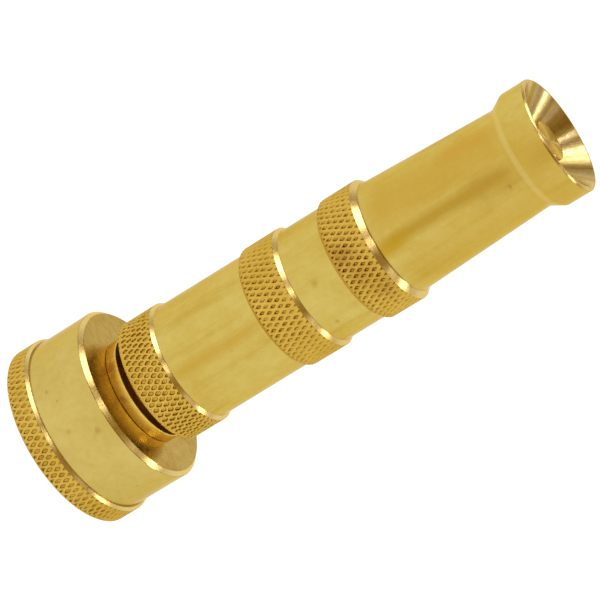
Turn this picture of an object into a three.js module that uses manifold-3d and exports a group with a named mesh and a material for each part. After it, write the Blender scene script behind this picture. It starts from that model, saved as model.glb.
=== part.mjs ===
// A brass twist nozzle for a garden hose. The hose screws into the coupling at the rear. A hollow
// stem runs forward from it and carries a plunger, and a barrel screws along the stem, so turning
// the barrel opens and closes the gap between its throat and the plunger.
// Millimetres. The nozzle stands on the coupling's rear face, z = 0, and +Z is the spray direction.
// Everything is shown shut, with the barrel screwed fully back.
import * as THREE from "three";
import { mergeVertices } from "three/addons/utils/BufferGeometryUtils.js";
import Module from "manifold-3d";

const wasm = await Module();
wasm.setup();

// ---- Driving dimensions -------------------------------------------------------------------

const SEGMENTS = 36; // facets round every turned surface
const RING_SEGMENTS = 8; // facets round an O-ring's own section
const FIT = 0.05; // clearance between two pieces that are fixed together
const CHAMFER = 0.3;

// Hose coupling: a knurled rim at the rear, then a plain band and a flat front face.
const RIM_R = 16.7;
const RIM_Z = 4.03;
const BAND_R = 15.97;
const BAND_SHOULDER_Z = 4.5;
const BAND_CHAMFER = 0.8;
const COUPLING_Z = 15.8;
const WEB_Z = 12.4; // rear side of the web that holds the stem
const STEM_TAIL_R = 8;

// Female garden hose thread, 3/4-11.5 NH.
const HOSE = {
  pitch: 25.4 / 11.5,
  wallR: 13.62,
  height: 1.43,
  baseWidth: 2,
  crestWidth: 0.4,
  startZ: 1.3,
  turns: 3.25,
  stepsPerTurn: 36,
  side: -1,
};
const SOCKET_MOUTH_R = 14.1;
const WASHER_R = 12.9;
const WASHER_HOLE_R = 8;
const WASHER_THICKNESS = 2.9;

// Stem: collar, journal that the rear seal slides on, thread, seal groove, slim drilled end.
const COLLAR_R = 9.64;
const COLLAR_Z = 17.98;
const JOURNAL_R = 7.4;
const STEM_WAIST_R = 6.9;
const STEM_FLANGE_R = 7.2;
const STEM_GROOVE_R = 5.6;
const GROOVE_Z = 52.9;
const GROOVE_WIDTH = 2.4;
const GROOVE_FLANGE = 2.3;
const STEM_END_R = 6;
const STEM_END_Z = 78;
const WATER_BORE_R = 4.5;
const WATER_INLET_R = 5.6;
const WATER_BORE_Z = 70;
const PORT_R = 2.5;
const PORT_Z = 64;
const PORT_SIDES = 16;
const PORT_DRILL_LENGTH = 3 * STEM_END_R; // each drill goes right through both walls

// Working thread between stem and barrel: one coarse right-hand start.
const LEAD = 3.2;
const STEM_THREAD = {
  pitch: LEAD,
  wallR: JOURNAL_R,
  height: 0.9,
  baseWidth: 2.3,
  crestWidth: 1,
  startZ: 32.2,
  turns: 2.75,
  stepsPerTurn: 18,
  side: 1,
};
const BARREL_THREAD_LEAD_IN = 3; // turns that the barrel's thread starts behind the stem's
const BARREL_THREAD = {
  pitch: LEAD,
  wallR: 8.5,
  height: 0.8,
  baseWidth: 1.9,
  crestWidth: 0.9,
  startZ: STEM_THREAD.startZ + LEAD / 2 - BARREL_THREAD_LEAD_IN * LEAD, // half a lead out of phase
  turns: 5.5,
  stepsPerTurn: 18,
  side: -1,
};
const THREAD_SINK = 0.15; // how far a ridge's base is buried in its wall
const RUN_OUT = 0.25; // turns over which a ridge fades in and out

// Plunger: a shank held in the stem, a shoulder, a groove for the shut-off ring, and a nose.
const SHANK_R = 3;
const SHOULDER_R = 5;
const SHOULDER_Z = 90.3;
const TIP_GROOVE_R = 3.15;
const TIP_GROOVE_Z = 92.4;
const NOSE_R = 3.6;
const NOSE_Z = 99.85;
const NOSE_CONE = 0.25; // depth of the shallow cone on the nose's end
const NOSE_CHAMFER = 0.2;

// Barrel: three knurled bands, a taper, a lip, and a bore that narrows to the throat.
const BARREL_Z = 19.84;
const BANDS = [
  { r: 11.27, from: 19.84, to: 26.44, smoothR: 10.6, end: 27.25 },
  { r: 11.2, from: 45.57, to: 52.24, smoothR: 10.47, end: 53.2, start: 44.85 },
  { r: 11.19, from: 61.66, to: 67.97, smoothR: 10.13, end: 69.4, start: 60.8 },
];
const TAPER_R = 8.95;
const TAPER_Z = 95;
const LIP_R = 10.37;
const LIP_Z = 96.7;
const MOUTH_Z = 101.6;
const LIP_CHAMFER = 0.5;
const MOUTH_R = 9.7;
const THROAT_R = 3.85;
const THROAT_FRONT_Z = 95.75;
const THROAT_REAR_Z = 93.5;
const BORE_R = 7.4;
const BORE_Z = 88.5; // where the bore turns into the conical seat
const BARREL_THREAD_Z = 44;
const SEAL_POCKET_R = 9.85;
const SEAL_POCKET_LIP_R = 9.45;
const SEAL_POCKET_Z = 22.6;
const SEAL_POCKET_LIP = 0.35;
const THREAD_RELIEF = 1.2;

// O-rings: radius to the middle of the section, radius of the section, height of the middle.
const REAR_SEAL = { r: 8.61, section: 1.13, z: 21.4 };
const MAIN_SEAL = { r: 6.5, section: 0.86, z: 54.1 };
const SHUT_OFF_SEAL = { r: 4.12, section: 0.9, z: 91.4 };

// ---- Materials ----------------------------------------------------------------------------

const satinBrass = new THREE.MeshStandardMaterial({
  color: 0xcbb05a,
  roughness: 0.42,
  metalness: 1,
});
const agedBrass = new THREE.MeshStandardMaterial({
  color: 0xa9802f,
  roughness: 0.35,
  metalness: 1,
});
const blackRubber = new THREE.MeshStandardMaterial({
  color: 0x1c1a19,
  roughness: 0.75,
  metalness: 0,
});

// ---- Shapes -------------------------------------------------------------------------------

// Turns a closed outline of [radius, z] points round the Z axis. The outline runs up the outside
// and down the inside.
function turned(outline) {
  const points = outline.map(([r, z]) => new THREE.Vector2(r, z));
  points.push(points[0].clone());
  return new THREE.LatheGeometry(points, SEGMENTS).rotateX(Math.PI / 2);
}

function toSolid(geometry) {
  geometry.deleteAttribute("normal");
  geometry.deleteAttribute("uv");
  const merged = mergeVertices(geometry, 1e-4);
  const vertProperties = merged.getAttribute("position").array;
  const triVerts = Uint32Array.from(merged.getIndex().array);
  return new wasm.Manifold(new wasm.Mesh({ numProp: 3, vertProperties, triVerts }));
}

function toGeometry(solid) {
  const mesh = solid.getMesh();
  const geometry = new THREE.BufferGeometry();
  geometry.setAttribute("position", new THREE.BufferAttribute(mesh.vertProperties, 3));
  geometry.setIndex(new THREE.BufferAttribute(mesh.triVerts, 1));
  geometry.computeVertexNormals();
  return geometry;
}

// A right-hand screw ridge: a trapezoid bar wrapped round the Z axis with its base buried in the
// wall. side is 1 on an outside wall and -1 on the wall of a hole.
function screwRidge(thread) {
  const { pitch, wallR, height, baseWidth, crestWidth, startZ, turns, stepsPerTurn, side } = thread;
  const section = new THREE.Shape([
    new THREE.Vector2(-THREAD_SINK, -baseWidth / 2),
    new THREE.Vector2(height, -crestWidth / 2),
    new THREE.Vector2(height, crestWidth / 2),
    new THREE.Vector2(-THREAD_SINK, baseWidth / 2),
  ]);
  const steps = Math.round(turns * stepsPerTurn);
  const bar = new THREE.ExtrudeGeometry(section, { depth: 1, steps, bevelEnabled: false });
  const position = bar.getAttribute("position");
  for (let i = 0; i < position.count; i++) {
    const turn = position.getZ(i) * turns;
    const fade = Math.min(1, turn / RUN_OUT, (turns - turn) / RUN_OUT);
    const across = position.getX(i);
    const rise = across > 0 ? THREE.MathUtils.lerp(-THREAD_SINK / 2, height, fade) : across;
    const r = wallR + side * rise;
    const angle = 2 * Math.PI * turn;
    const z = startZ + pitch * turn - side * position.getY(i);
    position.setXYZ(i, r * Math.cos(angle), r * Math.sin(angle), z);
  }
  return toSolid(bar);
}

function oRing({ r, section, z }) {
  return new THREE.TorusGeometry(r, section, RING_SEGMENTS, SEGMENTS).translate(0, 0, z);
}

// ---- Pieces -------------------------------------------------------------------------------

function hoseCoupling() {
  const wallR = HOSE.wallR;
  const body = turned([
    [SOCKET_MOUTH_R, 0],
    [RIM_R - CHAMFER, 0],
    [RIM_R, CHAMFER],
    [RIM_R, RIM_Z],
    [BAND_R, BAND_SHOULDER_Z],
    [BAND_R, COUPLING_Z - BAND_CHAMFER],
    [BAND_R - BAND_CHAMFER, COUPLING_Z],
    [STEM_TAIL_R + FIT, COUPLING_Z],
    [STEM_TAIL_R + FIT, WEB_Z],
    [wallR, WEB_Z],
    [wallR, SOCKET_MOUTH_R - wallR],
  ]);
  return toGeometry(toSolid(body).add(screwRidge(HOSE)));
}

function hoseWasher() {
  const top = WEB_Z - FIT;
  const bottom = top - WASHER_THICKNESS;
  return turned([
    [WASHER_HOLE_R, bottom],
    [WASHER_R, bottom],
    [WASHER_R, top],
    [WASHER_HOLE_R, top],
  ]);
}

function stem() {
  const thread = STEM_THREAD;
  const threadTop = thread.startZ + thread.turns * thread.pitch + thread.baseWidth;
  const grooveTop = GROOVE_Z + GROOVE_WIDTH;
  const body = turned([
    [WATER_INLET_R, WEB_Z],
    [STEM_TAIL_R, WEB_Z],
    [STEM_TAIL_R, COUPLING_Z + FIT],
    [COLLAR_R - CHAMFER / 2, COUPLING_Z + FIT],
    [COLLAR_R, COUPLING_Z + FIT + CHAMFER / 2],
    [COLLAR_R, COLLAR_Z - CHAMFER / 2],
    [COLLAR_R - CHAMFER / 2, COLLAR_Z],
    [JOURNAL_R, COLLAR_Z],
    [JOURNAL_R, threadTop],
    [STEM_WAIST_R, threadTop],
    [STEM_WAIST_R, GROOVE_Z - GROOVE_FLANGE],
    [STEM_FLANGE_R, GROOVE_Z - GROOVE_FLANGE + CHAMFER],
    [STEM_FLANGE_R, GROOVE_Z],
    [STEM_GROOVE_R, GROOVE_Z],
    [STEM_GROOVE_R, grooveTop],
    [STEM_FLANGE_R, grooveTop],
    [STEM_FLANGE_R, grooveTop + GROOVE_FLANGE],
    [STEM_END_R, grooveTop + GROOVE_FLANGE],
    [STEM_END_R, STEM_END_Z - CHAMFER],
    [STEM_END_R - CHAMFER, STEM_END_Z],
    [SHANK_R, STEM_END_Z],
    [SHANK_R, WATER_BORE_Z],
    [WATER_BORE_R, WATER_BORE_Z],
    [WATER_BORE_R, WEB_Z + WATER_INLET_R - WATER_BORE_R],
  ]);
  let solid = toSolid(body).add(screwRidge(thread));
  for (const turn of [0, Math.PI / 2]) {
    const drill = new THREE.CylinderGeometry(PORT_R, PORT_R, PORT_DRILL_LENGTH, PORT_SIDES);
    drill.rotateZ(turn).translate(0, 0, PORT_Z);
    solid = solid.subtract(toSolid(drill));
  }
  return toGeometry(solid);
}

function plunger() {
  const shankBottom = WATER_BORE_Z + CHAMFER;
  return turned([
    [0, shankBottom],
    [SHANK_R - FIT - CHAMFER, shankBottom],
    [SHANK_R - FIT, shankBottom + CHAMFER],
    [SHANK_R - FIT, STEM_END_Z + FIT],
    [SHOULDER_R, STEM_END_Z + FIT],
    [SHOULDER_R, SHOULDER_Z - CHAMFER],
    [SHOULDER_R - CHAMFER, SHOULDER_Z],
    [TIP_GROOVE_R, SHOULDER_Z],
    [TIP_GROOVE_R, TIP_GROOVE_Z],
    [NOSE_R, TIP_GROOVE_Z],
    [NOSE_R, NOSE_Z - NOSE_CHAMFER],
    [NOSE_R - NOSE_CHAMFER, NOSE_Z],
    [0, NOSE_Z - NOSE_CONE],
  ]);
}

// The outside of one knurled band, with the chamfers at its ends.
function bandOutline({ r, from, to, smoothR, end, start }, previousR) {
  const points = [];
  if (start !== undefined) points.push([previousR, start]);
  points.push([r, from], [r, to], [smoothR, end]);
  return points;
}

function barrel() {
  const outside = BANDS.flatMap((band, i) => bandOutline(band, i ? BANDS[i - 1].smoothR : 0));
  const body = turned([
    [SEAL_POCKET_LIP_R, BARREL_Z],
    ...outside,
    [TAPER_R, TAPER_Z],
    [LIP_R, LIP_Z],
    [LIP_R, MOUTH_Z - LIP_CHAMFER],
    [LIP_R - LIP_CHAMFER, MOUTH_Z],
    [MOUTH_R, MOUTH_Z],
    [THROAT_R, THROAT_FRONT_Z],
    [THROAT_R, THROAT_REAR_Z],
    [BORE_R, BORE_Z],
    [BORE_R, BARREL_THREAD_Z],
    [BARREL_THREAD.wallR, BARREL_THREAD_Z - THREAD_RELIEF],
    [BARREL_THREAD.wallR, SEAL_POCKET_Z],
    [SEAL_POCKET_R, SEAL_POCKET_Z],
    [SEAL_POCKET_R, BARREL_Z + SEAL_POCKET_LIP],
    [SEAL_POCKET_LIP_R, BARREL_Z + SEAL_POCKET_LIP],
  ]);
  return toGeometry(toSolid(body).add(screwRidge(BARREL_THREAD)));
}

// ---- Assembly -----------------------------------------------------------------------------

function addPiece(parent, name, geometry, material) {
  const mesh = new THREE.Mesh(geometry, material);
  mesh.name = name;
  parent.add(mesh);
}

const nozzle = new THREE.Group();

const base = new THREE.Group();
addPiece(base, "hose_coupling", hoseCoupling(), satinBrass);
addPiece(base, "hose_washer", hoseWasher(), blackRubber);
addPiece(base, "stem", stem(), agedBrass);
addPiece(base, "stem_seal", oRing(MAIN_SEAL), blackRubber);
addPiece(base, "plunger", plunger(), agedBrass);
addPiece(base, "shut_off_seal", oRing(SHUT_OFF_SEAL), blackRubber);

const sleeve = new THREE.Group();
addPiece(sleeve, "barrel", barrel(), satinBrass);
addPiece(sleeve, "barrel_rear_seal", oRing(REAR_SEAL), blackRubber);

nozzle.add(base, sleeve);

export default nozzle;
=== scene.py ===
import math
import random

import bmesh
import bpy
from mathutils import Matrix, Vector


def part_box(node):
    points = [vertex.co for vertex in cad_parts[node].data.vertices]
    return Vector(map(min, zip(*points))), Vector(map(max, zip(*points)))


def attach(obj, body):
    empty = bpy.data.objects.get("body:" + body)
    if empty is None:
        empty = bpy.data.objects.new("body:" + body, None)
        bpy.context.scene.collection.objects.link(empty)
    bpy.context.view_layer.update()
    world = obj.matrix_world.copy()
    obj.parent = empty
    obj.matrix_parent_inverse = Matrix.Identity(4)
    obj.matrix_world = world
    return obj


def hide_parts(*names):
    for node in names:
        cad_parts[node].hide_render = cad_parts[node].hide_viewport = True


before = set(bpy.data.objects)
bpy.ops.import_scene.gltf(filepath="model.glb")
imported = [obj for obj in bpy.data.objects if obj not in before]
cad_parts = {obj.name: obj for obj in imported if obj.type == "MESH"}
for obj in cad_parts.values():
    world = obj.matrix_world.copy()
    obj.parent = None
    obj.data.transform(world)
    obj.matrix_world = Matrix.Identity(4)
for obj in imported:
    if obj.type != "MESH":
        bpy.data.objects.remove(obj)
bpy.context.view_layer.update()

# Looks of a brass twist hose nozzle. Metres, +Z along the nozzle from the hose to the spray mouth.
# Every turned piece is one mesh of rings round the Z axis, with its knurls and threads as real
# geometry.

MM = 0.001
TAU = 2 * math.pi
SIDES = 240  # columns round a plain turned surface
CORNER_STEPS = 4  # steps in a rounded corner
O_RING_SIDES = (160, 28)  # round an O-ring, and round its section
SHARP_ANGLE = math.radians(34)
MERGE_DISTANCE = 1e-7
ANGLE_TIE = 1e-9  # angles closer than this are the same, in radians
PLACE_STEPS = 1000  # places on a knurl are told apart to this share of half a diamond
rng = random.Random(7)

# ---- The frame's own places, in millimetres -------------------------------------------------


def span(node):
    """(lowest z, highest z, outer radius) of a CAD node in millimetres."""
    low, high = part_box(node)
    return low.z / MM, high.z / MM, high.x / MM


COUPLING_REAR, COUPLING_FRONT, RIM_R = span("hose_coupling")
BARREL_REAR, MOUTH, BAND_R = span("barrel")
STEM_REAR, STEM_END, COLLAR_R = span("stem")
WASHER_REAR, WASHER_FRONT, WASHER_R = span("hose_washer")
SHANK_REAR, NOSE_END, SHOULDER_R = span("plunger")

# ---- Driving dimensions, in millimetres -----------------------------------------------------

# Knurls. A band has so many diamonds round the piece and so many whole columns of them between the
# half columns at its two ends. A pit's profile is (share of the way in from its edge, share of its
# depth, roundness of that level's outline).
ROUND_PIT = [(0, 0, 0), (0.13, 0.03, 0.3), (0.26, 0.2, 1), (0.46, 0.9, 1), (0.6, 0.9, 1),
             (1, 0.5, 1)]
RIM_PIT = [(0, 0, 0), (0.14, 0.03, 0.2), (0.26, 0.16, 0.6), (0.5, 0.75, 0.8), (0.66, 0.8, 1),
           (1, 0.65, 1)]
SHARP_PIT = [(0, 0, 0), (0.18, 0.03, 0.1), (0.3, 0.14, 0.4), (0.56, 0.62, 0.7), (0.8, 0.95, 1),
             (1, 1, 1)]
KNURL_AROUND = 60
KNURL_COLUMNS = 5
RIM_KNURL_AROUND = 84
RIM_KNURL_COLUMNS = 2
KNURL_DEPTH = 0.36
PIT_DEPTHS = (0.8, 1)  # least and greatest share of its depth that a whole pit gets
KNURL_JITTER = 0.04  # how far a crossing of two ridges strays
PIT_LEAN = 0.22  # how far the deepest point of a pit lies to the rear of its middle
KNURL_WEAR = 0.035  # how far a crossing is worn down
END_DEPTH = 0.1  # share of its depth that a pit keeps where a bevel cuts it
END_DROP = END_DEPTH * KNURL_DEPTH
EDGE_PIT_DEPTH = 0.3  # share of its depth that a pit keeps beside an uncut edge
CROWN = 0.12  # how far the rear edge of a band is rounded down, over twice that length
OVAL_TIPS = 0.1  # how far a round level draws in a diamond's corners round the piece
OVAL_ENDS = 0.28  # the same for its corners along the piece
OVAL_SIDES = 0.08  # how far it pushes out the middles of the diamond's sides

# Edges and fits.
FIT = 0.05  # gap left between two pieces that touch
EDGE_ROUND = 0.1  # radius of a turned edge
MOUTH_ROUND = 0.06
BAND_FILLET = 0.2
FILLET_SHARE = 0.3  # share of a fillet's radius up its bevel where the bevel's own brass begins
BEVEL_END = 0.1  # part at each end of the coupling's front bevel that has its neighbour's brass
REAR_EDGE_STEP = (0.01, 0.02)  # radius and height left between a rear bevel and its knurl

# Coupling, heights above its rear face.
RIM_EDGE = 0.3
RIM_END = 4.03
RIM_CHAMFER = 0.5
RIM_STEP = 0.05  # how far the rim's bevel stops above the smooth band
RIM_STEP_ROUND = 0.04
COUPLING_BAND_R = 15.97
COUPLING_ROUND = 0.12
COUPLING_CHAMFER = 0.8
WEB = 12.4
STEM_TAIL_R = 8
SOCKET_MOUTH_R = 14.1
HOSE_THREAD = {"wall": 13.62, "rise": -1.43, "base": 2, "crest": 0.4, "pitch": 25.4 / 11.5}
HOSE_THREAD_START = 1.3
HOSE_THREAD_TURNS = 3.25
THREAD_CLEAR = 0.2  # plain wall left beyond the ends of a thread

# Hose washer.
WASHER_HOLE_R = 8
WASHER_EDGE = 0.35

# Working thread between the stem and the barrel.
LEAD = 3.2
STEM_THREAD = {"wall": 7.4, "rise": 0.9, "base": 2.2, "crest": 1, "pitch": LEAD}
STEM_THREAD_START = 32.2
STEM_THREAD_TURNS = 2.75
BARREL_THREAD = {"wall": 8.5, "rise": -0.8, "base": 1.85, "crest": 0.9, "pitch": LEAD}
BARREL_THREAD_START = STEM_THREAD_START + LEAD / 2 - 3 * LEAD
BARREL_THREAD_TURNS = 5.5
RUN_OUT = 0.25  # turns over which a thread fades in and out
SPARE_TURNS = 2  # turns reckoned beyond both ends of a wall, where the ridge lies flat

# Stem, heights from the coupling's rear face.
COLLAR_END = 17.98
COLLAR_ROUND = 0.15
COLLAR_RIM = 0.3  # bright ring on the collar's front, round the journal, whose brass is darkened as painted shade
STEM_WAIST_R = 6.9
STEM_FLANGE_R = 7.2
STEM_BEVEL = 0.3
SEAL_GROOVE = (52.9, 55.3)
SEAL_GROOVE_R = 5.6
SEAL_FLANGE = 2.3
STEM_END_R = 6
WATER_BORE_R = 4.5
WATER_INLET_R = 5.6
WATER_BORE_END = 70
SHANK_R = 3
PORT_Z = 64
PORT_R = 2.5
PORT_SIDES = 48

# Plunger.
SHANK_BEVEL = 0.3
SHOULDER_END = 90.3
SHOULDER_ROUND = 0.25
TIP_GROOVE_END = 92.4
TIP_GROOVE_R = 3.15
NOSE_R = 3.6
NOSE_RIM = 0.35  # side of the nose that has the looks of its end
NOSE_ROUND = 0.18
NOSE_CONE = 0.25  # depth of the hollow cone in the nose's end
NOSE_RING = 0.6  # share of the cone's radius where it has a ring of its own

# Barrel: (radius, start, end) of each knurled band, as heights from the coupling's rear face.
BANDS = [(BAND_R, 19.98, 26.44), (11.2, 45.4, 52.24), (11.19, 61.5, 67.97)]
REAR_BEVEL = 0.14  # how far the barrel's rear end is bevelled, behind the first band
SMOOTH_R = [(10.64, 10.55), (10.49, 10.46), (10.13, 8.95)]  # rear and front ends of each stretch
TAPER_START_FILLET = 0.5
TAPER_END = 94.3
TAPER_END_FILLET = 2.0
LIP_R = 10.37
LIP_START = 96.85
LIP_FILLET = 1.0
LIP_CHAMFER = 0.28
LIP_BEVEL_END = 0.08  # rear part of the lip's bevel that has the barrel's own brass
MOUTH_R = 9.7
THROAT_R = 3.85
THROAT = (93.5, 95.75)
THROAT_ROUND = 0.15
BORE_R = 7.4
BORE_END = 88.5
THREAD_END = 44
THREAD_RELIEF = 1.2
THREAD_STEP = 0.02  # keeps a thread's first ring clear of the ring before it
POCKET_R = 9.85
POCKET_LIP_R = 9.45
POCKET_LIP = 0.35
POCKET_END = 22.6

# ---- Mesh building --------------------------------------------------------------------------


class Skin:
    """The surface of one turned piece, collected ring by ring. A ring is a list of (angle, vertex)
    in order of angle, and the outline runs up the outside and down the inside."""

    def __init__(self):
        self.points = []
        self.faces = []
        self.slots = []
        self.slot = 0
        self.first = None
        self.last = None
        self.corner = (0, 0)

    def point(self, r, angle, z):
        self.points.append((r * MM * math.cos(angle), r * MM * math.sin(angle), z * MM))
        return len(self.points) - 1

    def face(self, *corners):
        self.faces.append(corners)
        self.slots.append(self.slot)

    def join(self, ring):
        """Faces from the last ring to this one, which may have another count."""
        if self.first is None:
            self.first = ring
        else:
            self.bridge(self.last, ring)
        self.last = ring

    def bridge(self, below, above):
        i = j = 0
        while i < len(below) or j < len(above):
            a, b = below[i % len(below)][1], above[j % len(above)][1]
            next_a = self.angle_at(below, i + 1)
            next_b = self.angle_at(above, j + 1)
            step_a = i < len(below) and (next_a <= next_b + ANGLE_TIE or j == len(above))
            step_b = j < len(above) and (next_b <= next_a + ANGLE_TIE or i == len(below))
            a_next, b_next = below[(i + 1) % len(below)][1], above[(j + 1) % len(above)][1]
            if step_a and step_b:
                self.face(a, a_next, b_next, b)
            elif step_a:
                self.face(a, a_next, b)
            else:
                self.face(a, b_next, b)
            i += step_a
            j += step_b

    @staticmethod
    def angle_at(ring, i):
        """The angle of a ring's vertex i, which carries on past a whole turn."""
        return ring[i % len(ring)][0] + TAU * (i // len(ring))

    def ring(self, r, z, sides=SIDES):
        """A plain ring, joined to the last one."""
        step = TAU / sides
        self.join([(step * i, self.point(r, step * i, z)) for i in range(sides)])

    def outline(self, corners):
        """Plain rings through (radius, z) corners. A third number rounds a corner to that radius,
        on any corner but the last."""
        for i, corner in enumerate(corners):
            before = Vector(self.corner)
            self.corner = corner[:2]
            if len(corner) == 2:
                self.ring(*corner)
                continue
            after = Vector(corners[i + 1][:2])
            for r, z in rounded(before, Vector(corner[:2]), after, corner[2]):
                self.ring(r, z)

    def close(self):
        self.bridge(self.last, self.first)

    def cap(self, z):
        """Closes the end on the axis."""
        centre = self.point(0, 0, z)
        for i, (_, a) in enumerate(self.last):
            self.face(a, self.last[(i + 1) % len(self.last)][1], centre)

    def start_on_axis(self, z, r):
        """Opens the outline with a disc whose outer ring has radius r."""
        self.ring(r, z)
        centre = self.point(0, 0, z)
        for i, (_, a) in enumerate(self.first):
            self.face(self.first[(i + 1) % len(self.first)][1], a, centre)

    def object(self, name, materials):
        """The surface as an object, whose slots are the materials. It is smooth, but sharp at its
        corners and where two materials meet."""
        mesh = bpy.data.meshes.new(name)
        mesh.from_pydata(self.points, [], self.faces)
        for material in materials:
            mesh.materials.append(material)
        mesh.polygons.foreach_set("material_index", self.slots)
        tidy = bmesh.new()
        tidy.from_mesh(mesh)
        bmesh.ops.remove_doubles(tidy, verts=tidy.verts, dist=MERGE_DISTANCE)
        bmesh.ops.dissolve_degenerate(tidy, dist=MERGE_DISTANCE, edges=tidy.edges)
        for edge in tidy.edges:
            slots = {face.material_index for face in edge.link_faces}
            edge.smooth = edge.calc_face_angle(0) < SHARP_ANGLE and len(slots) == 1
        for face in tidy.faces:
            face.smooth = True
        tidy.to_mesh(mesh)
        tidy.free()
        made = bpy.data.objects.new(name, mesh)
        bpy.context.scene.collection.objects.link(made)
        weights = made.modifiers.new("even_normals", "WEIGHTED_NORMAL")
        weights.keep_sharp = True
        return made


def rounded(before, corner, after, radius):
    """Points of the arc of that radius between two straight stretches of outline."""
    back, on = (before - corner).normalized(), (after - corner).normalized()
    half = back.angle(on) / 2
    reach = radius / math.tan(half)
    centre = corner + (back + on).normalized() * radius / math.sin(half)
    start, end = corner + back * reach - centre, corner + on * reach - centre
    sweep = start.angle_signed(end)
    return [centre + Matrix.Rotation(-sweep * k / CORNER_STEPS, 2) @ start
            for k in range(CORNER_STEPS + 1)]


# A diamond's corners and the middles of its sides, as (across, up) in half diamonds. Its first half
# is the part above its middle, and its second half the part below.
DIAMOND = [(1, 0), (0.5, 0.5), (0, 1), (-0.5, 0.5), (-1, 0), (-0.5, -0.5), (0, -1), (0.5, -0.5)]


def oval(corner, rounding):
    """A point of the diamond moved toward an oval."""
    across, up = corner
    if abs(across) == 1:
        return across * (1 - OVAL_TIPS * rounding), up
    if abs(up) == 1:
        return across, up * (1 - OVAL_ENDS * rounding)
    return across * (1 + OVAL_SIDES * rounding), up


def knurl(skin, r, low, high, around, columns, profile, cut_low=True, crown=0.0):
    """A band of diamond pits between raised ridges, from height low to high. Where a bevel cuts
    the band its pits run out shallow. At an uncut low end the half pits are shallow, and they end
    at the full radius. Places on the band are (across, up) in half diamonds, and up counts from
    the band's low edge."""
    half_angle = TAU / around / 2
    pitch = (high - low) / (columns + 1)
    made = {}

    def vertex(across, up, drop):
        key = (round(across * PLACE_STEPS) % (2 * around * PLACE_STEPS), round(up * PLACE_STEPS))
        if key not in made:
            at_low, at_high = key[1] <= 0, key[1] >= (columns + 1) * PLACE_STEPS
            kept = (END_DEPTH * cut_low if at_low else END_DEPTH) if at_low or at_high else 1
            depth = drop * KNURL_DEPTH * kept
            if not (at_low or at_high):
                depth += rng.random() * KNURL_WEAR * (drop == 0)
            if crown:
                depth += crown * max(0, 1 - up * pitch / (2 * crown)) ** 2
            stray = 0 if at_low or at_high else rng.uniform(-1, 1) * KNURL_JITTER
            angle = (across + stray) * half_angle % TAU
            made[key] = (angle, skin.point(r - depth, angle, low + up * pitch))
        return made[key]

    for column in range(columns + 2):
        first, count = 0, len(DIAMOND)
        if column == 0:
            count = len(DIAMOND) // 2
        elif column == columns + 1:
            first, count = len(DIAMOND) // 2, len(DIAMOND) // 2
        for cell in range(around):
            middle = 2 * cell + column % 2
            deep = rng.uniform(*PIT_DEPTHS)
            if column == 0 and not cut_low:
                deep *= EDGE_PIT_DEPTH
            paths = []
            for inset, drop, rounding in profile[:-1]:
                corners = [oval(DIAMOND[(first + k) % len(DIAMOND)], rounding)
                           for k in range(count + 1)]
                lean = PIT_LEAN * inset if count == len(DIAMOND) else 0
                paths.append([vertex(middle + a * (1 - inset), column + b * (1 - inset) - lean,
                                     drop * deep)[1] for a, b in corners])
            for outer, inner in zip(paths, paths[1:]):
                for k in range(count):
                    skin.face(outer[k], outer[k + 1], inner[k + 1], inner[k])
            centre = vertex(middle, column - lean, profile[-1][1] * deep)[1]
            for k in range(count):
                skin.face(paths[-1][k], paths[-1][k + 1], centre)

    def edge(row):
        return sorted(v for (_, up), v in made.items() if up == row * PLACE_STEPS)

    if skin.first is None:
        skin.first = edge(0)
    else:
        skin.bridge(skin.last, edge(0))
    skin.last = edge(columns + 1)


def screw_wall(skin, thread, low, high, start, turns):
    """A cylinder wall from height low to high that carries a right-hand helical ridge. Each column
    of vertices has the ridge's own corners, so the helix is clean. A wall whose rise is negative
    is the inside of a hole, and there the outline runs down."""
    pitch, inside = thread["pitch"], thread["rise"] < 0
    corners = [(-thread["base"] / 2, 0), (-thread["crest"] / 2, 1),
               (thread["crest"] / 2, 1), (thread["base"] / 2, 0)]
    first = math.floor((low - start) / pitch) - SPARE_TURNS
    last = math.ceil((high - start) / pitch) + SPARE_TURNS

    def column(turn):
        rows = [(low, 0)]
        for n in range(first, last + 1):
            along = n + turn
            fade = max(0, min(1, along / RUN_OUT, (turns - along) / RUN_OUT))
            for offset, share in corners:
                z = min(high, max(low, start + pitch * along + offset))
                rows.append((z, thread["rise"] * share * fade))
        rows.append((high, 0))
        angle = TAU * turn
        return [skin.point(thread["wall"] + rise, angle, z) for z, rise in rows]

    columns = [column(i / SIDES) for i in range(SIDES)]
    for i, here in enumerate(columns):
        there = columns[(i + 1) % SIDES]
        shift = len(corners) if i == SIDES - 1 else 0  # one turn on, the helix is a pitch higher
        there = [there[0]] + there[1 + shift:-1] + [there[-1]] * (1 + shift)
        for k in range(len(here) - 1):
            face = (here[k], there[k], there[k + 1], here[k + 1])
            skin.face(*(face[::-1] if inside else face))
    bottom = [(TAU * i / SIDES, c[0]) for i, c in enumerate(columns)]
    top = [(TAU * i / SIDES, c[-1]) for i, c in enumerate(columns)]
    entry, leave = (top, bottom) if inside else (bottom, top)
    skin.join(entry)
    skin.last = leave


def place(piece, node, body):
    """The piece stands for a CAD node and takes its body."""
    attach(piece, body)
    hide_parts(node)


# ---- Materials ------------------------------------------------------------------------------


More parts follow.
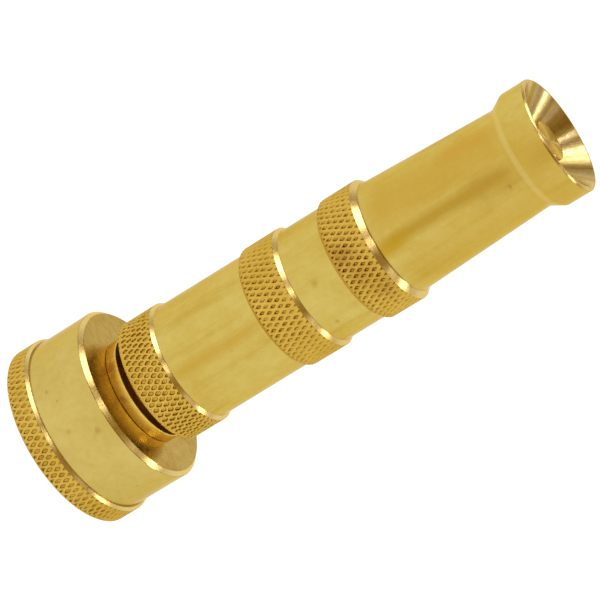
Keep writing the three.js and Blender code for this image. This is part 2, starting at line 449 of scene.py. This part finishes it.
class Nodes:
    """Short calls for building a node tree."""

    def __init__(self, name):
        self.material = bpy.data.materials.new(name)
        self.material.use_nodes = True
        self.tree = self.material.node_tree
        self.shader = self.tree.nodes["Principled BSDF"]
        self.position = self.add("ShaderNodeTexCoord").outputs["Object"]

    def add(self, kind, inputs=None, **settings):
        node = self.tree.nodes.new(kind)
        for key, value in settings.items():
            setattr(node, key, value)
        for key, value in (inputs or {}).items():
            self.set(node.inputs[key], value)
        return node

    def set(self, socket, value):
        if isinstance(value, bpy.types.NodeSocket):
            self.tree.links.new(value, socket)
        else:
            socket.default_value = value

    def maths(self, operation, a, b=0.0):
        return self.add("ShaderNodeMath", {0: a, 1: b}, operation=operation).outputs[0]

    def noise(self, scale, detail=3.0, roughness=0.5, vector=None):
        inputs = {"Vector": vector or self.position, "Scale": scale, "Detail": detail,
                  "Roughness": roughness}
        return self.add("ShaderNodeTexNoise", inputs).outputs["Fac"]

    def ramp(self, value, low, high, out_low=0.0, out_high=1.0):
        """value from low to high, mapped to out_low to out_high and held at both ends."""
        inputs = {"Value": value, "From Min": low, "From Max": high, "To Min": out_low,
                  "To Max": out_high}
        return self.add("ShaderNodeMapRange", inputs).outputs[0]

    def mix(self, share, a, b):
        node = self.add("ShaderNodeMix", {0: share}, data_type="RGBA")
        self.set(node.inputs[6], a)
        self.set(node.inputs[7], b)
        return node.outputs[2]

    def turned_position(self):
        """Distance from the axis, angle and height, so a pattern can follow the lathe's cuts."""
        split = self.add("ShaderNodeSeparateXYZ", {0: self.position}).outputs
        square = self.maths("ADD", self.maths("POWER", split[0], 2.0),
                            self.maths("POWER", split[1], 2.0))
        radius = self.maths("SQRT", square)
        angle = self.maths("ARCTAN2", split[1], split[0])
        return radius, angle, split[2]


def linear(red, green, blue):
    """An 8-bit sRGB colour as linear RGBA."""
    def channel(c):
        c /= 255
        return c / 12.92 if c <= 0.04045 else ((c + 0.055) / 1.055) ** 2.4
    return (channel(red), channel(green), channel(blue), 1)


LATHE_PITCH = 0.00011  # spacing of the tool marks, in metres
TOOL_MARK_DEPTH = 0.00002
BAND_FADE = 2  # half the length, in millimetres, over which a stripe begins and ends
GRAZING_TINT = (0.86, 0.74, 0.48, 1)  # keeps the brass golden where it is seen edge on


def brass(name, bright, deep, stain, roughness, marks=0.12, patina=0.5, specks=0.5, turned=0.0,
          pit=None, streaks=0.0, spots=(), bands=(), rings=()):
    """Turned brass: a patchy two-tone patina, small dark specks and stains, circular tool marks.
    streaks is the strength of faint lines along the piece, and turned is how much the tool marks
    stretch the highlights. pit is (crest radius, depth, how clean the floor is, colour, strength)
    of a knurl whose pits hold darker brass. spots are single blemishes as (radius from the axis,
    height, azimuth in degrees from the front, size, strength), in millimetres. bands are stripes
    along the piece as (azimuth, half width in degrees, first height, last height, strength,
    colour), and rings are stripes round it as (height, half width, strength, colour)."""
    n = Nodes(name)
    radius, angle, height = n.turned_position()

    # Patina, which blends the two tones.
    clouds = n.ramp(n.noise(110, 5, 0.62), 0.36, 0.66)  # patches about 9 mm across
    mottle = n.ramp(n.noise(900, 4, 0.6), 0.35, 0.7)  # blotches about 1 mm across
    tone = n.maths("ADD", n.maths("MULTIPLY", clouds, patina),
                   n.maths("MULTIPLY", mottle, patina * 0.45))
    if streaks:
        along = n.add("ShaderNodeCombineXYZ", {
            0: n.maths("COSINE", angle), 1: n.maths("SINE", angle),
            2: n.maths("MULTIPLY", height, 9.0)}).outputs[0]
        lines = n.ramp(n.noise(4.5, 4, 0.6, along), 0.5, 0.7)
        tone = n.maths("ADD", tone, n.maths("MULTIPLY", lines, streaks))
    colour = n.mix(tone, bright, deep)

    # Stripes along the piece, whose sides wander, and stripes round it. Besides tints, some are
    # painted reflection and painted highlights.
    wander = n.noise(60, 4, 0.6)
    for azimuth, width, low, high, strength, tint in bands:
        off = n.maths("ABSOLUTE", n.maths("SUBTRACT", angle, math.radians(azimuth - 90)))
        reach = n.ramp(wander, 0.3, 0.7, 0.6 * math.radians(width), 1.4 * math.radians(width))
        share = n.ramp(n.maths("DIVIDE", off, reach), 0.2, 1.0, strength, 0.0)
        begun = n.ramp(height, (low - BAND_FADE) * MM, (low + BAND_FADE) * MM)
        ended = n.ramp(height, (high - BAND_FADE) * MM, (high + BAND_FADE) * MM, 1.0, 0.0)
        share = n.maths("MULTIPLY", share, n.maths("MULTIPLY", begun, ended))
        colour = n.mix(share, colour, tint)
    for z, width, strength, tint in rings:
        off = n.maths("ABSOLUTE", n.maths("SUBTRACT", height, z * MM))
        colour = n.mix(n.ramp(off, 0.3 * width * MM, width * MM, strength, 0.0), colour, tint)

    # Specks, smears and single blemishes.
    speck_field = n.add("ShaderNodeTexVoronoi", {"Vector": n.position, "Scale": 420.0}).outputs
    near = n.ramp(speck_field["Distance"], 0.05, 0.14, 1.0, 0.0)
    chosen = n.ramp(n.add("ShaderNodeSeparateColor", {0: speck_field["Color"]}).outputs[0],
                    0.86, 0.9)
    speck = n.maths("MULTIPLY", n.maths("MULTIPLY", near, chosen), specks)
    smear = n.maths("MULTIPLY", n.ramp(n.noise(230, 6, 0.7), 0.66, 0.8), specks * 0.6)
    dirt = n.maths("MAXIMUM", speck, smear)
    ragged = n.ramp(n.noise(800, 5, 0.75), 0.3, 0.7, 0.25, 1.7)
    for r, z, azimuth, size, strength in spots:
        turn = math.radians(azimuth)
        middle = Vector((r * math.sin(turn), -r * math.cos(turn), z)) * MM
        away = n.add("ShaderNodeVectorMath", {0: n.position, 1: middle}, operation="DISTANCE")
        share = n.maths("DIVIDE", away.outputs["Value"], n.maths("MULTIPLY", ragged, size * MM))
        dirt = n.maths("MAXIMUM", dirt, n.ramp(share, 0.2, 1.2, strength, 0.0))
    colour = n.mix(dirt, colour, stain)

    if pit:
        crest, depth, clean, tarnish, strength = pit
        walls = n.ramp(radius, (crest - depth * 0.5) * MM, (crest - depth * 0.12) * MM,
                       strength, 0.0)
        floor = n.ramp(radius, (crest - depth * 0.9) * MM, (crest - depth * 0.7) * MM, clean, 0.0)
        share = n.maths("MULTIPLY", walls, n.maths("SUBTRACT", 1.0, floor))
        share = n.maths("MULTIPLY", share, n.ramp(n.noise(700, 3, 0.6), 0.35, 0.65, 0.5, 1.2))
        colour = n.mix(share, colour, tarnish)
    n.set(n.shader.inputs["Base Color"], colour)

    # Tool marks, a fine noise drawn out round the piece.
    lathe = n.add("ShaderNodeCombineXYZ", {
        0: n.maths("DIVIDE", radius, LATHE_PITCH),
        1: n.maths("MULTIPLY", angle, 0.6),
        2: n.maths("DIVIDE", height, LATHE_PITCH)}).outputs[0]
    cuts = n.noise(1.0, 2, 0.6, lathe)
    uneven = n.noise(1400, 3, 0.6)
    n.set(n.shader.inputs["Roughness"],
          n.maths("ADD", n.ramp(uneven, 0.3, 0.7, roughness - 0.05, roughness + 0.05),
                  n.maths("MULTIPLY", tone, 0.06)))
    relief = n.maths("ADD", cuts, n.maths("MULTIPLY", uneven, 0.8))
    bump = n.add("ShaderNodeBump",
                 {"Strength": marks, "Distance": TOOL_MARK_DEPTH, "Height": relief})
    n.set(n.shader.inputs["Normal"], bump.outputs[0])
    n.shader.inputs["Metallic"].default_value = 1.0
    n.shader.inputs["Specular Tint"].default_value = GRAZING_TINT
    if turned:  # a quarter turn of the anisotropy stretches the highlights across the tool marks
        round_axis = n.add("ShaderNodeTangent", direction_type="RADIAL", axis="Z")
        n.set(n.shader.inputs["Tangent"], round_axis.outputs[0])
        n.shader.inputs["Anisotropic"].default_value = turned
        n.shader.inputs["Anisotropic Rotation"].default_value = 0.25
    return n.material


def rubber(name, shade):
    """Matt black rubber with a fine grain and a little dust."""
    n = Nodes(name)
    dust = n.ramp(n.noise(260, 5, 0.65), 0.5, 0.75)
    colour = n.mix(n.maths("MULTIPLY", dust, 0.35), shade, linear(92, 84, 72))
    n.set(n.shader.inputs["Base Color"], colour)
    grain = n.noise(3200, 2, 0.5)
    n.set(n.shader.inputs["Roughness"], n.ramp(grain, 0.3, 0.7, 0.55, 0.75))
    bump = n.add("ShaderNodeBump", {"Strength": 0.25, "Distance": 0.00004, "Height": grain})
    n.set(n.shader.inputs["Normal"], bump.outputs[0])
    return n.material


# The stains and tints of the photographed nozzle, with its painted reflection and painted
# highlights, as brass() takes them.
STAIN = linear(140, 96, 34)
OCHRE = linear(188, 150, 52)
RUST = linear(194, 148, 56)
COUPLING_SPOTS = [(16, 12.5, 6, 0.7, 0.35), (16, 8, -2, 0.5, 0.3), (16, 8.5, -22, 0.35, 0.4),
                  (16, 7.2, -31, 0.35, 0.4), (16, 7, 63, 0.3, 0.3), (16, 10.2, 55, 0.3, 0.3),
                  (16, 11, 150, 0.8, 0.4), (16, 6.5, 215, 0.5, 0.3)]
BARREL_SPOTS = [(9.2, 92.5, 19.5, 0.5, 0.6), (10.5, 56.6, -1.5, 0.8, 0.3),
                (10.5, 55.6, 41, 0.45, 0.35), (10.6, 36, 140, 0.7, 0.4), (9.6, 80, 200, 0.8, 0.4)]
# Stripes along the barrel. Those at azimuths 3 to 8 below height 95 are painted reflection, a
# darker streak down the front of the first smooth stretch and the taper. The others tint the taper
# and lip a darker ochre and rust.
BARREL_TINTS_AND_PAINTED_REFLECTION = [(4, 9, 27, 44, 0.6, OCHRE), (-32, 34, 70, 95, 0.7, OCHRE),
                  (50, 40, 70, 110, 0.5, OCHRE), (3, 9, 70, 94, 0.9, linear(176, 140, 48)),
                  (7, 13, 67, 74, 0.7, linear(182, 142, 22)),
                  (8, 18, 86, 95, 0.5, linear(176, 138, 48)),
                  (17, 9, 92, 95, 0.4, linear(168, 130, 40)), (0, 44, 95, 110, 0.5, OCHRE),
                  (6, 16, 98, 110, 0.5, linear(178, 138, 42)), (-46, 13, 84, 94, 0.6, RUST)]
BAND_3_SPOTS = [(11.1, 63.2, -8, 3.2, 0.5), (11.1, 64.4, 12, 3.4, 0.35), (11.1, 66.5, 34, 3, 0.3)]
STEM_SPOTS = [(9.6, 16.4, -38, 2.0, 0.6), (9.6, 16.6, -3, 1.0, 0.4), (9.6, 16.2, 50, 2.0, 0.5)]
coupling_brass = brass("coupling_brass", linear(202, 180, 102), linear(190, 162, 78), STAIN, 0.2,
                       patina=0.6, spots=COUPLING_SPOTS)
face_brass = brass("face_brass", linear(230, 207, 130), linear(208, 173, 96), STAIN, 0.22,
                   marks=0.25, patina=0.8, turned=0.4)
# The ring round the lip's flank at height 95.7 is a painted highlight: the pale stripe along the
# flank.
barrel_brass = brass("barrel_brass", linear(204, 182, 98), linear(188, 155, 58), STAIN, 0.21,
                     patina=0.5, specks=0.35, streaks=0.4, spots=BARREL_SPOTS,
                     bands=BARREL_TINTS_AND_PAINTED_REFLECTION, rings=[(95.7, 0.8, 0.2, linear(232, 216, 144))])
stem_brass = brass("stem_brass", linear(246, 212, 104), linear(228, 182, 74), linear(122, 66, 34),
                   0.27, marks=0.3, patina=0.6, specks=0.6, turned=0.5, spots=STEM_SPOTS)
# Brass darkened as painted shade, for the stem's journal, the inner part of the collar's front and
# the barrel's rear pocket, where the gap between collar and barrel lies in shadow.
painted_shade_brass = brass("painted_shade_brass", linear(176, 134, 76), linear(142, 100, 54),
                    linear(104, 72, 44), 0.45, patina=0.7)
edge_brass = brass("edge_brass", linear(233, 209, 142), linear(219, 191, 110), STAIN, 0.26,
                   marks=0.08, patina=0.3, specks=0.2)
mouth_brass = brass("mouth_brass", linear(238, 220, 170), linear(194, 166, 86), STAIN, 0.29,
                    marks=0.6, patina=0.4, specks=0.2, turned=0.85, streaks=0.9)
PAINTED_GLINT = linear(255, 244, 196)  # a painted highlight: the bright streak across the plunger's end, from edge to edge
plunger_brass = brass("plunger_brass", linear(234, 198, 106), linear(214, 174, 80), STAIN, 0.26,
                      marks=0.3, turned=0.8,
                      bands=[(azimuth, 11, 0, 110, 1.0, PAINTED_GLINT) for azimuth in (155, -25)])
seal_rubber = rubber("seal_rubber", linear(48, 28, 22))
washer_rubber = rubber("washer_rubber", linear(34, 32, 31))


def knurled_brass(name, crest, clean, strength, spots=()):
    """The brass of one knurled band, with tarnish in its pits."""
    pit = (crest, KNURL_DEPTH, clean, linear(146, 98, 26), strength)
    return brass(name, linear(209, 173, 78), linear(188, 150, 50), linear(140, 84, 30), 0.24,
                 specks=0.3, pit=pit, spots=spots)


# ---- Pieces ---------------------------------------------------------------------------------


def make_coupling():
    skin = Skin()
    plain, rim, edge, face = range(4)  # slots, in the order of the materials below
    skin.outline([(SOCKET_MOUTH_R, COUPLING_REAR), (RIM_R - RIM_EDGE, COUPLING_REAR)])
    skin.slot = rim
    knurl(skin, RIM_R, RIM_EDGE, RIM_END, RIM_KNURL_AROUND, RIM_KNURL_COLUMNS, RIM_PIT)
    skin.outline([(RIM_R - END_DROP, RIM_END + END_DROP)])
    skin.slot = edge
    skin.outline([
        (RIM_R - RIM_CHAMFER, RIM_END + RIM_CHAMFER),
        (COUPLING_BAND_R + RIM_STEP, RIM_END + RIM_CHAMFER),
    ])
    skin.slot = plain
    bevel_start = COUPLING_FRONT - COUPLING_CHAMFER
    face_r = COUPLING_BAND_R - COUPLING_CHAMFER
    skin.outline([
        (COUPLING_BAND_R, RIM_END + RIM_CHAMFER, RIM_STEP_ROUND),
        (COUPLING_BAND_R, bevel_start, COUPLING_ROUND),
        (COUPLING_BAND_R - BEVEL_END, bevel_start + BEVEL_END),
    ])
    skin.slot = edge
    skin.outline([(face_r + BEVEL_END, COUPLING_FRONT - BEVEL_END)])
    skin.slot = face
    skin.outline([
        (face_r, COUPLING_FRONT, EDGE_ROUND),
        (STEM_TAIL_R + FIT, COUPLING_FRONT),
    ])
    skin.slot = plain
    skin.outline([
        (STEM_TAIL_R + FIT, WEB),
        (HOSE_THREAD["wall"], WEB),
    ])
    mouth_bevel = SOCKET_MOUTH_R - HOSE_THREAD["wall"]
    screw_wall(skin, HOSE_THREAD, mouth_bevel, WEB - THREAD_CLEAR, HOSE_THREAD_START,
               HOSE_THREAD_TURNS)
    skin.close()
    rim_knurl = knurled_brass("rim_knurl", RIM_R, 0.5, 0.55)
    piece = skin.object("coupling_body", [coupling_brass, rim_knurl, edge_brass, face_brass])
    place(piece, "hose_coupling", "base")


def make_washer():
    skin = Skin()
    skin.outline([
        (WASHER_HOLE_R, WASHER_REAR + WASHER_EDGE),
        (WASHER_HOLE_R + WASHER_EDGE, WASHER_REAR),
        (WASHER_R - 2 * WASHER_EDGE, WASHER_REAR),
        (WASHER_R, WASHER_REAR, WASHER_EDGE),
        (WASHER_R, WASHER_FRONT, WASHER_EDGE),
        (WASHER_HOLE_R + WASHER_EDGE, WASHER_FRONT),
        (WASHER_HOLE_R, WASHER_FRONT - WASHER_EDGE),
    ])
    skin.close()
    place(skin.object("rubber_washer", [washer_rubber]), "hose_washer", "base")


def make_stem():
    skin = Skin()
    bright, painted_shade = range(2)  # slots, in the order of the materials below
    seat = COUPLING_FRONT + FIT
    thread_low = STEM_THREAD_START - STEM_THREAD["base"]
    thread_high = STEM_THREAD_START + STEM_THREAD_TURNS * LEAD + STEM_THREAD["base"]
    wall = STEM_THREAD["wall"]
    groove_low, groove_high = SEAL_GROOVE
    skin.outline([
        (WATER_INLET_R, STEM_REAR),
        (STEM_TAIL_R, STEM_REAR),
        (STEM_TAIL_R, seat),
        (COLLAR_R, seat, EDGE_ROUND),
        (COLLAR_R, COLLAR_END, COLLAR_ROUND),
        (COLLAR_R - COLLAR_RIM, COLLAR_END),
    ])
    # The journal and the inner part of the collar's front get the brass darkened as painted shade.
    skin.slot = painted_shade
    skin.outline([(wall, COLLAR_END), (wall, thread_low - 2 * THREAD_CLEAR)])
    skin.slot = bright
    screw_wall(skin, STEM_THREAD, thread_low, thread_high, STEM_THREAD_START, STEM_THREAD_TURNS)
    skin.outline([
        (STEM_WAIST_R, thread_high),
        (STEM_WAIST_R, groove_low - SEAL_FLANGE),
        (STEM_FLANGE_R, groove_low - SEAL_FLANGE + STEM_BEVEL),
        (STEM_FLANGE_R, groove_low),
        (SEAL_GROOVE_R, groove_low),
        (SEAL_GROOVE_R, groove_high),
        (STEM_FLANGE_R, groove_high),
        (STEM_FLANGE_R, groove_high + SEAL_FLANGE),
        (STEM_END_R, groove_high + SEAL_FLANGE),
        (STEM_END_R, STEM_END, STEM_BEVEL),
        (SHANK_R, STEM_END),
        (SHANK_R, WATER_BORE_END),
        (WATER_BORE_R, WATER_BORE_END),
        (WATER_BORE_R, STEM_REAR + WATER_INLET_R - WATER_BORE_R),
    ])
    skin.close()
    piece = skin.object("stem_body", [stem_brass, painted_shade_brass])
    drill_ports(piece)
    place(piece, "stem", "base")


def drill_ports(piece):
    """Cuts the two cross holes that let the water out of the stem."""
    cutter = bmesh.new()
    for turn in (0, TAU / 4):
        stand = Matrix.Translation((0, 0, PORT_Z * MM)) @ Matrix.Rotation(turn, 4, "Z")
        bmesh.ops.create_cone(cutter, cap_ends=True, segments=PORT_SIDES, radius1=PORT_R * MM,
                              radius2=PORT_R * MM, depth=3 * STEM_END_R * MM,
                              matrix=stand @ Matrix.Rotation(TAU / 4, 4, "X"))
    mesh = bpy.data.meshes.new("ports")
    cutter.to_mesh(mesh)
    cutter.free()
    tool = bpy.data.objects.new("ports", mesh)
    bpy.context.scene.collection.objects.link(tool)
    cut = piece.modifiers.new("ports", "BOOLEAN")
    cut.operation = "DIFFERENCE"
    cut.object = tool
    cut.use_self = True  # the two drills cross in the middle
    piece.modifiers.move(1, 0)  # the cut comes before the even normals
    ready = piece.evaluated_get(bpy.context.evaluated_depsgraph_get())
    drilled = bpy.data.meshes.new_from_object(ready)
    piece.modifiers.clear()
    piece.data = drilled
    bpy.data.objects.remove(tool)


def make_plunger():
    skin = Skin()
    skin.start_on_axis(SHANK_REAR, SHANK_R - 2 * SHANK_BEVEL)
    skin.outline([
        (SHANK_R - FIT, SHANK_REAR + SHANK_BEVEL),
        (SHANK_R - FIT, STEM_END + FIT),
        (SHOULDER_R, STEM_END + FIT),
        (SHOULDER_R, SHOULDER_END, SHOULDER_ROUND),
        (TIP_GROOVE_R, SHOULDER_END),
        (TIP_GROOVE_R, TIP_GROOVE_END),
        (NOSE_R, TIP_GROOVE_END),
    ])
    skin.slot = 1  # plunger_brass, on the end that shows in the mouth
    skin.outline([
        (NOSE_R, NOSE_END - NOSE_RIM),
        (NOSE_R, NOSE_END, NOSE_ROUND),
        (NOSE_R * NOSE_RING, NOSE_END - NOSE_CONE * (1 - NOSE_RING)),
    ])
    skin.cap(NOSE_END - NOSE_CONE)
    place(skin.object("plunger_body", [stem_brass, plunger_brass]), "plunger", "base")


def make_barrel():
    skin = Skin()
    # Slots, in the order of the materials below.
    plain, rear_knurl, middle_knurl, front_knurl, mouth, edge, pocket = range(7)
    band_1, band_2, band_3 = BANDS
    smooth_1, smooth_2, taper = SMOOTH_R

    def bevel_down(band, r, fillet):
        """From a band's front edge at 45 degrees down to the plain stretch of radius r."""
        band_r, _, high = band
        drop = band_r - r
        skin.outline([(band_r - END_DROP, high + END_DROP)])
        skin.slot = edge
        skin.outline([(r + FILLET_SHARE * fillet, high + drop - FILLET_SHARE * fillet)])
        skin.slot = plain
        return [(r, high + drop, fillet)]

    def add_band(slot, band, profile):
        """The bevel up to a band's rear edge, and the band."""
        skin.slot = edge
        band_r, low, _ = band
        skin.outline([(band_r - CROWN - END_DROP, low - END_DROP)])
        skin.slot = slot
        knurl(skin, *band, KNURL_AROUND, KNURL_COLUMNS, profile, crown=CROWN)

    def foot(band, r, fillet):
        """The corner between the plain stretch and the bevel behind a band."""
        band_r, low, _ = band
        bottom = low - (band_r - CROWN - r)
        return [(r, bottom, fillet), (r + FILLET_SHARE * fillet, bottom + FILLET_SHARE * fillet)]

    skin.outline([(POCKET_LIP_R, BARREL_REAR), (band_1[0] - REAR_BEVEL, BARREL_REAR)])
    skin.slot = edge
    skin.outline([(band_1[0] - REAR_EDGE_STEP[0], band_1[1] - REAR_EDGE_STEP[1])])
    skin.slot = rear_knurl
    knurl(skin, *band_1, KNURL_AROUND, KNURL_COLUMNS, ROUND_PIT, cut_low=False)
    skin.outline(bevel_down(band_1, smooth_1[0], BAND_FILLET)
                 + foot(band_2, smooth_1[1], BAND_FILLET))
    add_band(middle_knurl, band_2, SHARP_PIT)
    skin.outline(bevel_down(band_2, smooth_2[0], BAND_FILLET)
                 + foot(band_3, smooth_2[1], BAND_FILLET))
    add_band(front_knurl, band_3, SHARP_PIT)
    skin.outline(bevel_down(band_3, taper[0], TAPER_START_FILLET) + [
        (taper[1], TAPER_END, TAPER_END_FILLET),
        (LIP_R, LIP_START, LIP_FILLET),
        (LIP_R, MOUTH - LIP_CHAMFER, EDGE_ROUND),
        (LIP_R - LIP_BEVEL_END, MOUTH - LIP_CHAMFER + LIP_BEVEL_END),
    ])
    skin.slot = edge
    rim_r = LIP_R - LIP_CHAMFER
    skin.outline([
        (rim_r, MOUTH, MOUTH_ROUND),
        ((rim_r + MOUTH_R) / 2, MOUTH),
    ])
    skin.slot = mouth
    skin.outline([
        (MOUTH_R, MOUTH, MOUTH_ROUND),
        (THROAT_R, THROAT[1], THROAT_ROUND),
        (THROAT_R, THROAT[0]),
    ])
    skin.slot = plain
    thread_top = THREAD_END - THREAD_RELIEF
    skin.outline([
        (BORE_R, BORE_END),
        (BORE_R, THREAD_END),
        (BARREL_THREAD["wall"], thread_top),
    ])
    screw_wall(skin, BARREL_THREAD, POCKET_END + THREAD_CLEAR, thread_top - THREAD_STEP,
               BARREL_THREAD_START, BARREL_THREAD_TURNS)
    # The rear pocket gets the brass darkened as painted shade.
    skin.slot = pocket
    skin.outline([
        (BARREL_THREAD["wall"], POCKET_END),
        (POCKET_R, POCKET_END),
        (POCKET_R, BARREL_REAR + POCKET_LIP),
        (POCKET_LIP_R, BARREL_REAR + POCKET_LIP),
    ])
    skin.close()
    knurls = [
        knurled_brass("band_1_knurl", band_1[0], 0.8, 0.5),
        knurled_brass("band_2_knurl", band_2[0], 0.0, 0.4),
        knurled_brass("band_3_knurl", band_3[0], 0.0, 0.5, BAND_3_SPOTS),
    ]
    piece = skin.object("barrel_body",
                        [barrel_brass, *knurls, mouth_brass, edge_brass, painted_shade_brass])
    place(piece, "barrel", "barrel")


def make_ring(name, node, body):
    """An O-ring that fills its CAD node's box."""
    low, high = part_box(node)
    section = (high.z - low.z) / 2
    around, across = O_RING_SIDES
    bpy.ops.mesh.primitive_torus_add(major_segments=around, minor_segments=across,
                                     major_radius=high.x - section, minor_radius=section,
                                     location=(0, 0, 0))
    piece = bpy.context.object
    piece.name = name
    piece.data.transform(Matrix.Translation((0, 0, (high.z + low.z) / 2)))
    piece.data.materials.append(seal_rubber)
    piece.data.shade_smooth()
    place(piece, node, body)


make_coupling()
make_washer()
make_stem()
make_ring("stem_o_ring", "stem_seal", "base")
make_plunger()
make_ring("shut_off_o_ring", "shut_off_seal", "base")
make_barrel()
make_ring("rear_o_ring", "barrel_rear_seal", "rear_seal")

# ---- Studio ---------------------------------------------------------------------------------

FLOOR_RADIUS = 6
# Two greys of the floor's paint.
FLOOR_SHADES = [(0.245, 0.25, 0.257, 1), (0.255, 0.26, 0.267, 1)]
FLOOR_GLOW = 3.7
BACKDROP_TOP = (0.316, 0.568)  # sines of the heights where the white begins and ends to fade
ROOM_COLOUR = (0.285, 0.168, 0.018, 1)
WHITE = (1, 1, 1, 1)
LIGHT_DISTANCE = 2.0
LIGHT_TARGET = Vector((0, 0, 0.05))
# Each light's direction from the nozzle, direction of its width, width and height in degrees, and
# radiance, which is 1 for paper white.
LIGHTS = {
    "left_softbox": ((-0.56, 0.0, 0.80), (0.36, -0.47, 0.22), (27, 26), 3.8),
    "top_strip": ((-0.13, -0.335, 0.936), (1, 0, 0), (4.5, 26), 4.6),
    "right_softbox": ((0.738, 0.21, 0.642), (0.05, 0.3, -0.16), (7, 26), 6.5),
    "fill_strip": ((0.534, -0.112, 0.834), (1, 0, -0.6), (10, 14), 1.2),
}
# The camera aims at a point near the middle of the nozzle.
CAMERA_AIM = Vector((0.00084, 0, 0.04902))
CAMERA_DISTANCE = 0.49378
CAMERA_PITCH = math.radians(20.929)  # how far it looks down
CAMERA_TURN = math.radians(0.08)  # how far it looks toward +X
CAMERA_ROLL = math.radians(58.453)
FOCAL_LENGTH = 178.9
SENSOR_WIDTH = 36


def make_floor():
    """A plain light table. Its paint is mid grey and it glows white, so a shadow on it is faint."""
    bpy.ops.mesh.primitive_circle_add(vertices=96, radius=FLOOR_RADIUS, fill_type="NGON")
    floor = bpy.context.object
    floor.name = "floor"
    n = Nodes("floor_paint")
    shade = n.mix(n.noise(2.0, 2), *FLOOR_SHADES)
    n.set(n.shader.inputs["Base Color"], shade)
    n.set(n.shader.inputs["Emission Color"], shade)
    n.shader.inputs["Emission Strength"].default_value = FLOOR_GLOW
    n.shader.inputs["Roughness"].default_value = 0.9
    n.shader.inputs["Specular IOR Level"].default_value = 0.1
    floor.data.materials.append(n.material)


def make_light(name, direction, along, spread, radiance):
    """A soft strip light that faces the nozzle, as LIGHTS describes it."""
    away = Vector(direction).normalized()
    side = Vector(along)
    side = (side - away * side.dot(away)).normalized()
    light = bpy.data.lights.new(name, "AREA")
    light.shape = "RECTANGLE"
    light.size, light.size_y = (2 * LIGHT_DISTANCE * math.tan(math.radians(a) / 2) for a in spread)
    light.energy = radiance * math.pi * light.size * light.size_y
    made = bpy.data.objects.new(name, light)
    bpy.context.scene.collection.objects.link(made)
    turn = Matrix((side, away.cross(side), away)).transposed().to_4x4()
    made.matrix_world = Matrix.Translation(LIGHT_TARGET + away * LIGHT_DISTANCE) @ turn


def make_world():
    """A white backdrop round the horizon that fades into a dim warm room above. The camera itself
    sees white all round."""
    world = bpy.data.worlds.new("studio")
    bpy.context.scene.world = world
    world.use_nodes = True
    nodes, links = world.node_tree.nodes, world.node_tree.links
    direction = nodes.new("ShaderNodeTexCoord").outputs["Generated"]
    height = nodes.new("ShaderNodeSeparateXYZ")
    links.new(direction, height.inputs[0])
    ramp = nodes.new("ShaderNodeValToRGB")
    links.new(height.outputs["Z"], ramp.inputs[0])
    white, dim = ramp.color_ramp.elements
    white.position, dim.position = BACKDROP_TOP
    white.color = WHITE
    dim.color = ROOM_COLOUR
    seen = nodes.new("ShaderNodeLightPath")
    shown = nodes.new("ShaderNodeMix")
    shown.data_type = "RGBA"
    links.new(seen.outputs["Is Camera Ray"], shown.inputs[0])
    links.new(ramp.outputs[0], shown.inputs[6])
    shown.inputs[7].default_value = WHITE
    links.new(shown.outputs[2], nodes["Background"].inputs["Color"])


def make_camera():
    """Looks down on the nozzle from in front and above, rolled so the nozzle lies across."""
    data = bpy.data.cameras.new("camera")
    data.sensor_width = SENSOR_WIDTH
    data.lens = FOCAL_LENGTH
    data.clip_start = 0.01
    camera = bpy.data.objects.new("camera", data)
    bpy.context.scene.collection.objects.link(camera)
    level = Matrix.Rotation(-CAMERA_TURN, 4, "Z") @ Matrix.Rotation(TAU / 4 - CAMERA_PITCH, 4, "X")
    back_off = Matrix.Translation((0, 0, CAMERA_DISTANCE))
    look = level @ Matrix.Rotation(CAMERA_ROLL, 4, "Z") @ back_off
    camera.matrix_world = Matrix.Translation(CAMERA_AIM) @ look
    bpy.context.scene.camera = camera


make_floor()
for light_name, settings in LIGHTS.items():
    make_light(light_name, *settings)
make_world()
make_camera()
bpy.context.scene.view_settings.view_transform = "Standard"
